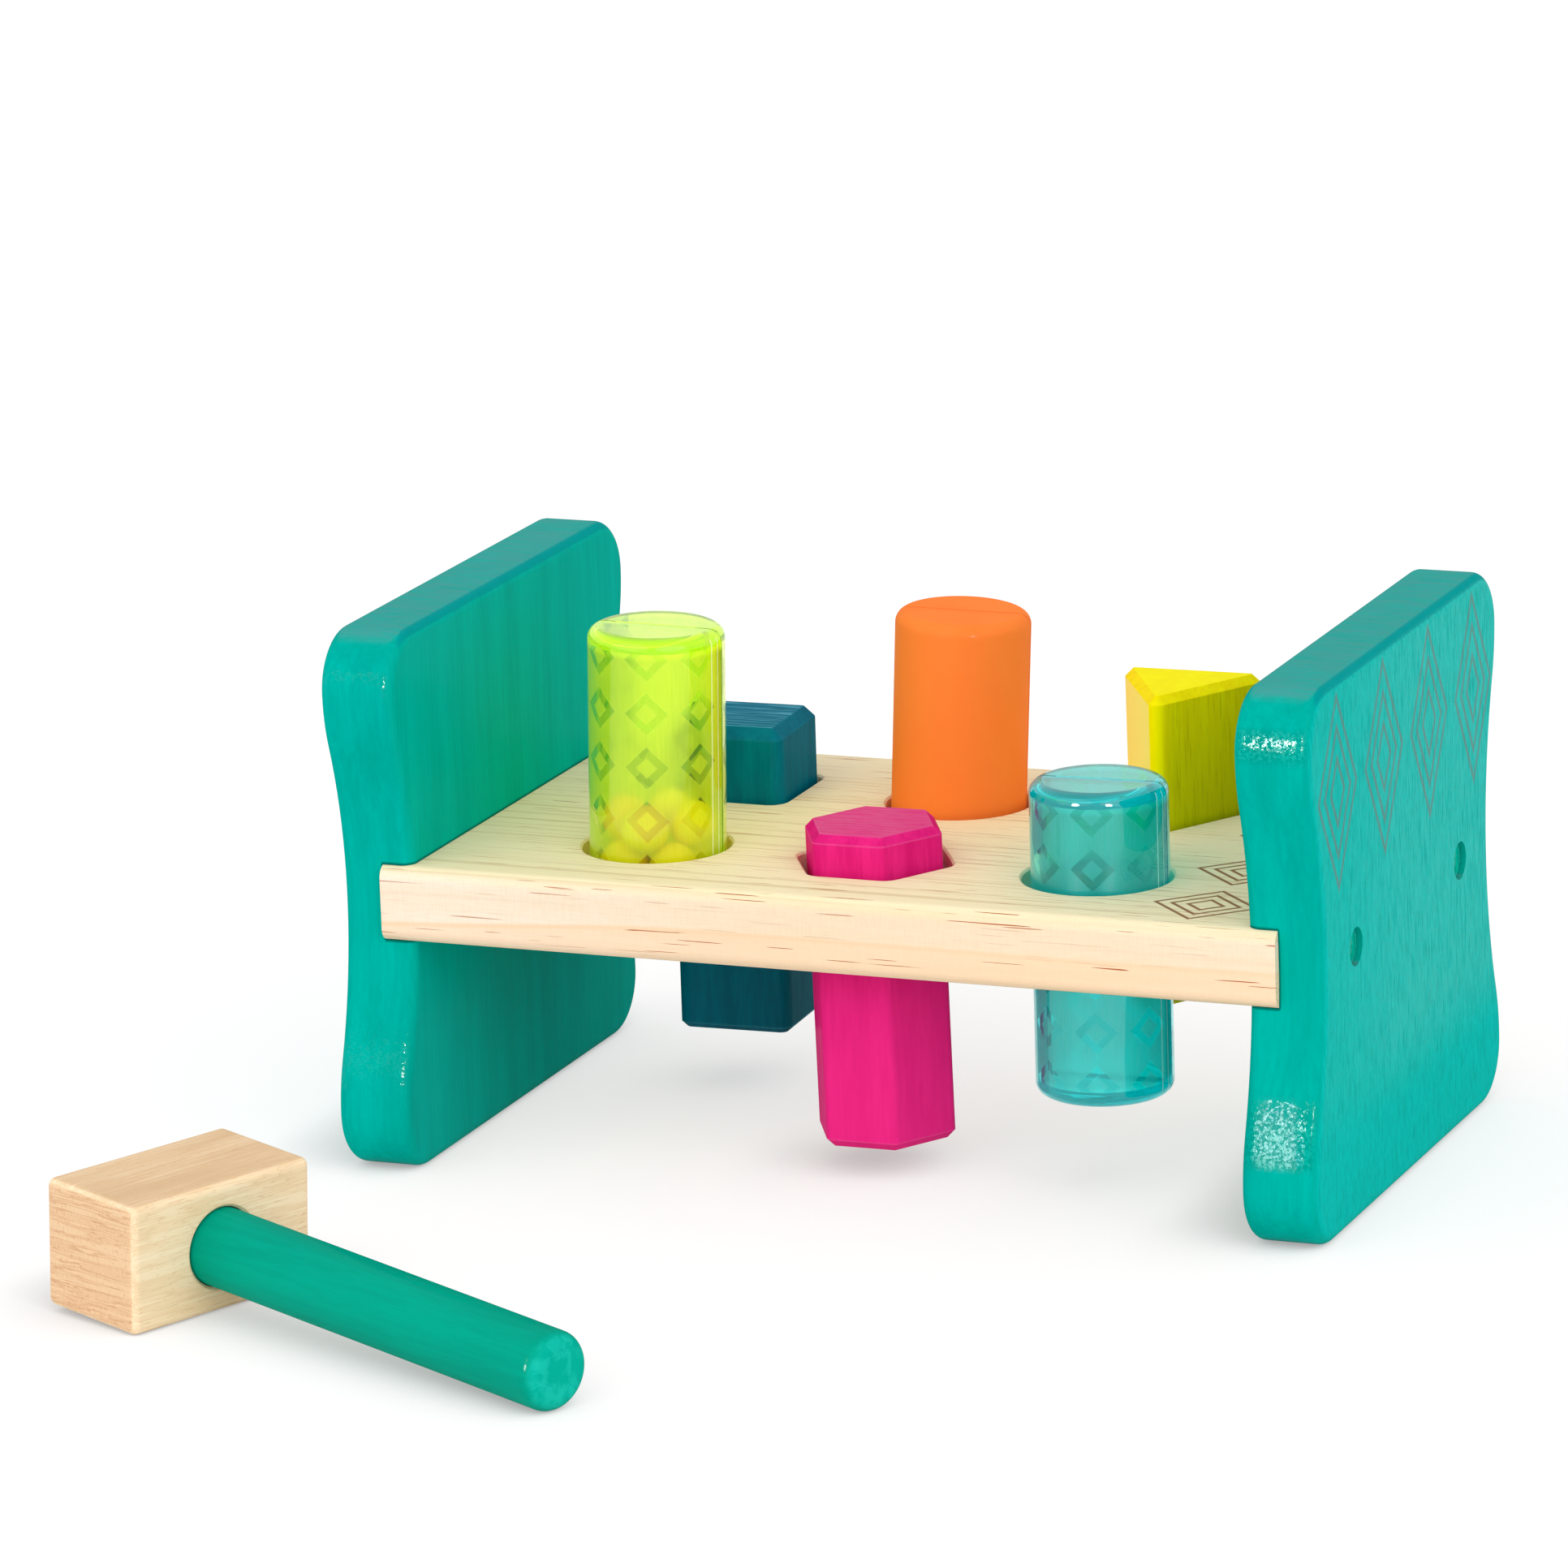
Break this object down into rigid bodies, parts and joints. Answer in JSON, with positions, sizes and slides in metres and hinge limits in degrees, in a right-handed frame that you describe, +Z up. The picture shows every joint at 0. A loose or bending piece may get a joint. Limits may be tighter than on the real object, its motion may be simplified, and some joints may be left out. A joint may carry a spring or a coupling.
{
  "type": "peg pounding bench",
  "caption": "Toy pounding bench: a pine board with shaped holes between two hourglass end panels, coloured round, hexagonal, square and triangular pegs that slide through, and a wooden mallet.",
  "frame": {"origin": "on the floor, at the middle of the footprint of the bench and the mallet together", "axes": "+X runs along the bench from the left end panel to the right one, +Y from the front row of holes to the back row, +Z up"},
  "size_m": [0.259, 0.2934, 0.129],
  "materials": {
    "bare_pine": "bare sanded pine with fine lengthwise grain",
    "bare_beech": "bare sanded beech with short flecks",
    "teal_lacquer": "satin gloss teal stain and lacquer on wood, grain showing through",
    "teal_plug_lacquer": "satin gloss teal stain and lacquer on a wooden plug",
    "teal_handle_lacquer": "satin gloss teal green stain and lacquer on a beech dowel",
    "magenta_lacquer": "satin magenta stain on wood",
    "navy_lacquer": "satin dark blue stain on wood",
    "yellow_lacquer": "satin yellow stain on wood",
    "clear_green_plastic": "glossy see-through yellow-green plastic, frosted inside",
    "clear_teal_plastic": "glossy see-through teal plastic, frosted inside",
    "orange_plastic": "satin gloss solid orange plastic",
    "yellow_bead_plastic": "glossy yellow plastic",
    "soft_rubber": "matt natural soft rubber",
    "zinc_steel": "bright zinc-plated steel"
  },
  "bodies": {
    "bench": {"peg_board": "bare_pine", "left_end_panel": "teal_lacquer", "right_end_panel": "teal_lacquer", "left_panel_screws": "zinc_steel", "right_panel_screws": "zinc_steel", "left_screw_plugs": "teal_plug_lacquer", "right_screw_plugs": "teal_plug_lacquer", "green_grip_ring": "soft_rubber", "magenta_grip_ring": "soft_rubber", "navy_grip_ring": "soft_rubber", "orange_grip_ring": "soft_rubber", "teal_grip_ring": "soft_rubber", "yellow_grip_ring": "soft_rubber"},
    "green_peg": {"green_peg_back_shell": "clear_green_plastic", "green_peg_beads": "yellow_bead_plastic", "green_peg_front_shell": "clear_green_plastic"},
    "magenta_peg": {"magenta_peg": "magenta_lacquer"},
    "teal_peg": {"teal_peg_back_shell": "clear_teal_plastic", "teal_peg_front_shell": "clear_teal_plastic"},
    "navy_peg": {"navy_peg": "navy_lacquer"},
    "orange_peg": {"orange_peg_back_shell": "orange_plastic", "orange_peg_front_shell": "orange_plastic"},
    "yellow_peg": {"yellow_peg": "yellow_lacquer"},
    "mallet": {"mallet_head": "bare_beech", "mallet_handle": "teal_handle_lacquer"}
  },
  "joints": [
    {"name": "green_peg_slide", "type": "slide", "parent": "bench", "child": "green_peg", "axis": [0.0279, 0, 0.9996], "range_m": [-0.0512, 0.002]},
    {"name": "magenta_peg_slide", "type": "slide", "parent": "bench", "child": "magenta_peg", "axis": [-0.0192, 0, 0.9998], "range_m": [-0.0071, 0.0457]},
    {"name": "teal_peg_slide", "type": "slide", "parent": "bench", "child": "teal_peg", "axis": [0, 0, 1], "range_m": [-0.022, 0.0319]},
    {"name": "navy_peg_slide", "type": "slide", "parent": "bench", "child": "navy_peg", "axis": [0, 0, 1], "range_m": [-0.0162, 0.0371]},
    {"name": "orange_peg_slide", "type": "slide", "parent": "bench", "child": "orange_peg", "axis": [0.0523, 0, 0.9986], "range_m": [-0.045, 0.0078]},
    {"name": "yellow_peg_slide", "type": "slide", "parent": "bench", "child": "yellow_peg", "axis": [-0.0087, 0, 1], "range_m": [-0.03, 0.023]},
    {"name": "mallet_lift", "type": "slide", "parent": "bench", "child": "mallet", "axis": [0, 0, 1], "range_m": [0, 0.15]}
  ]
}
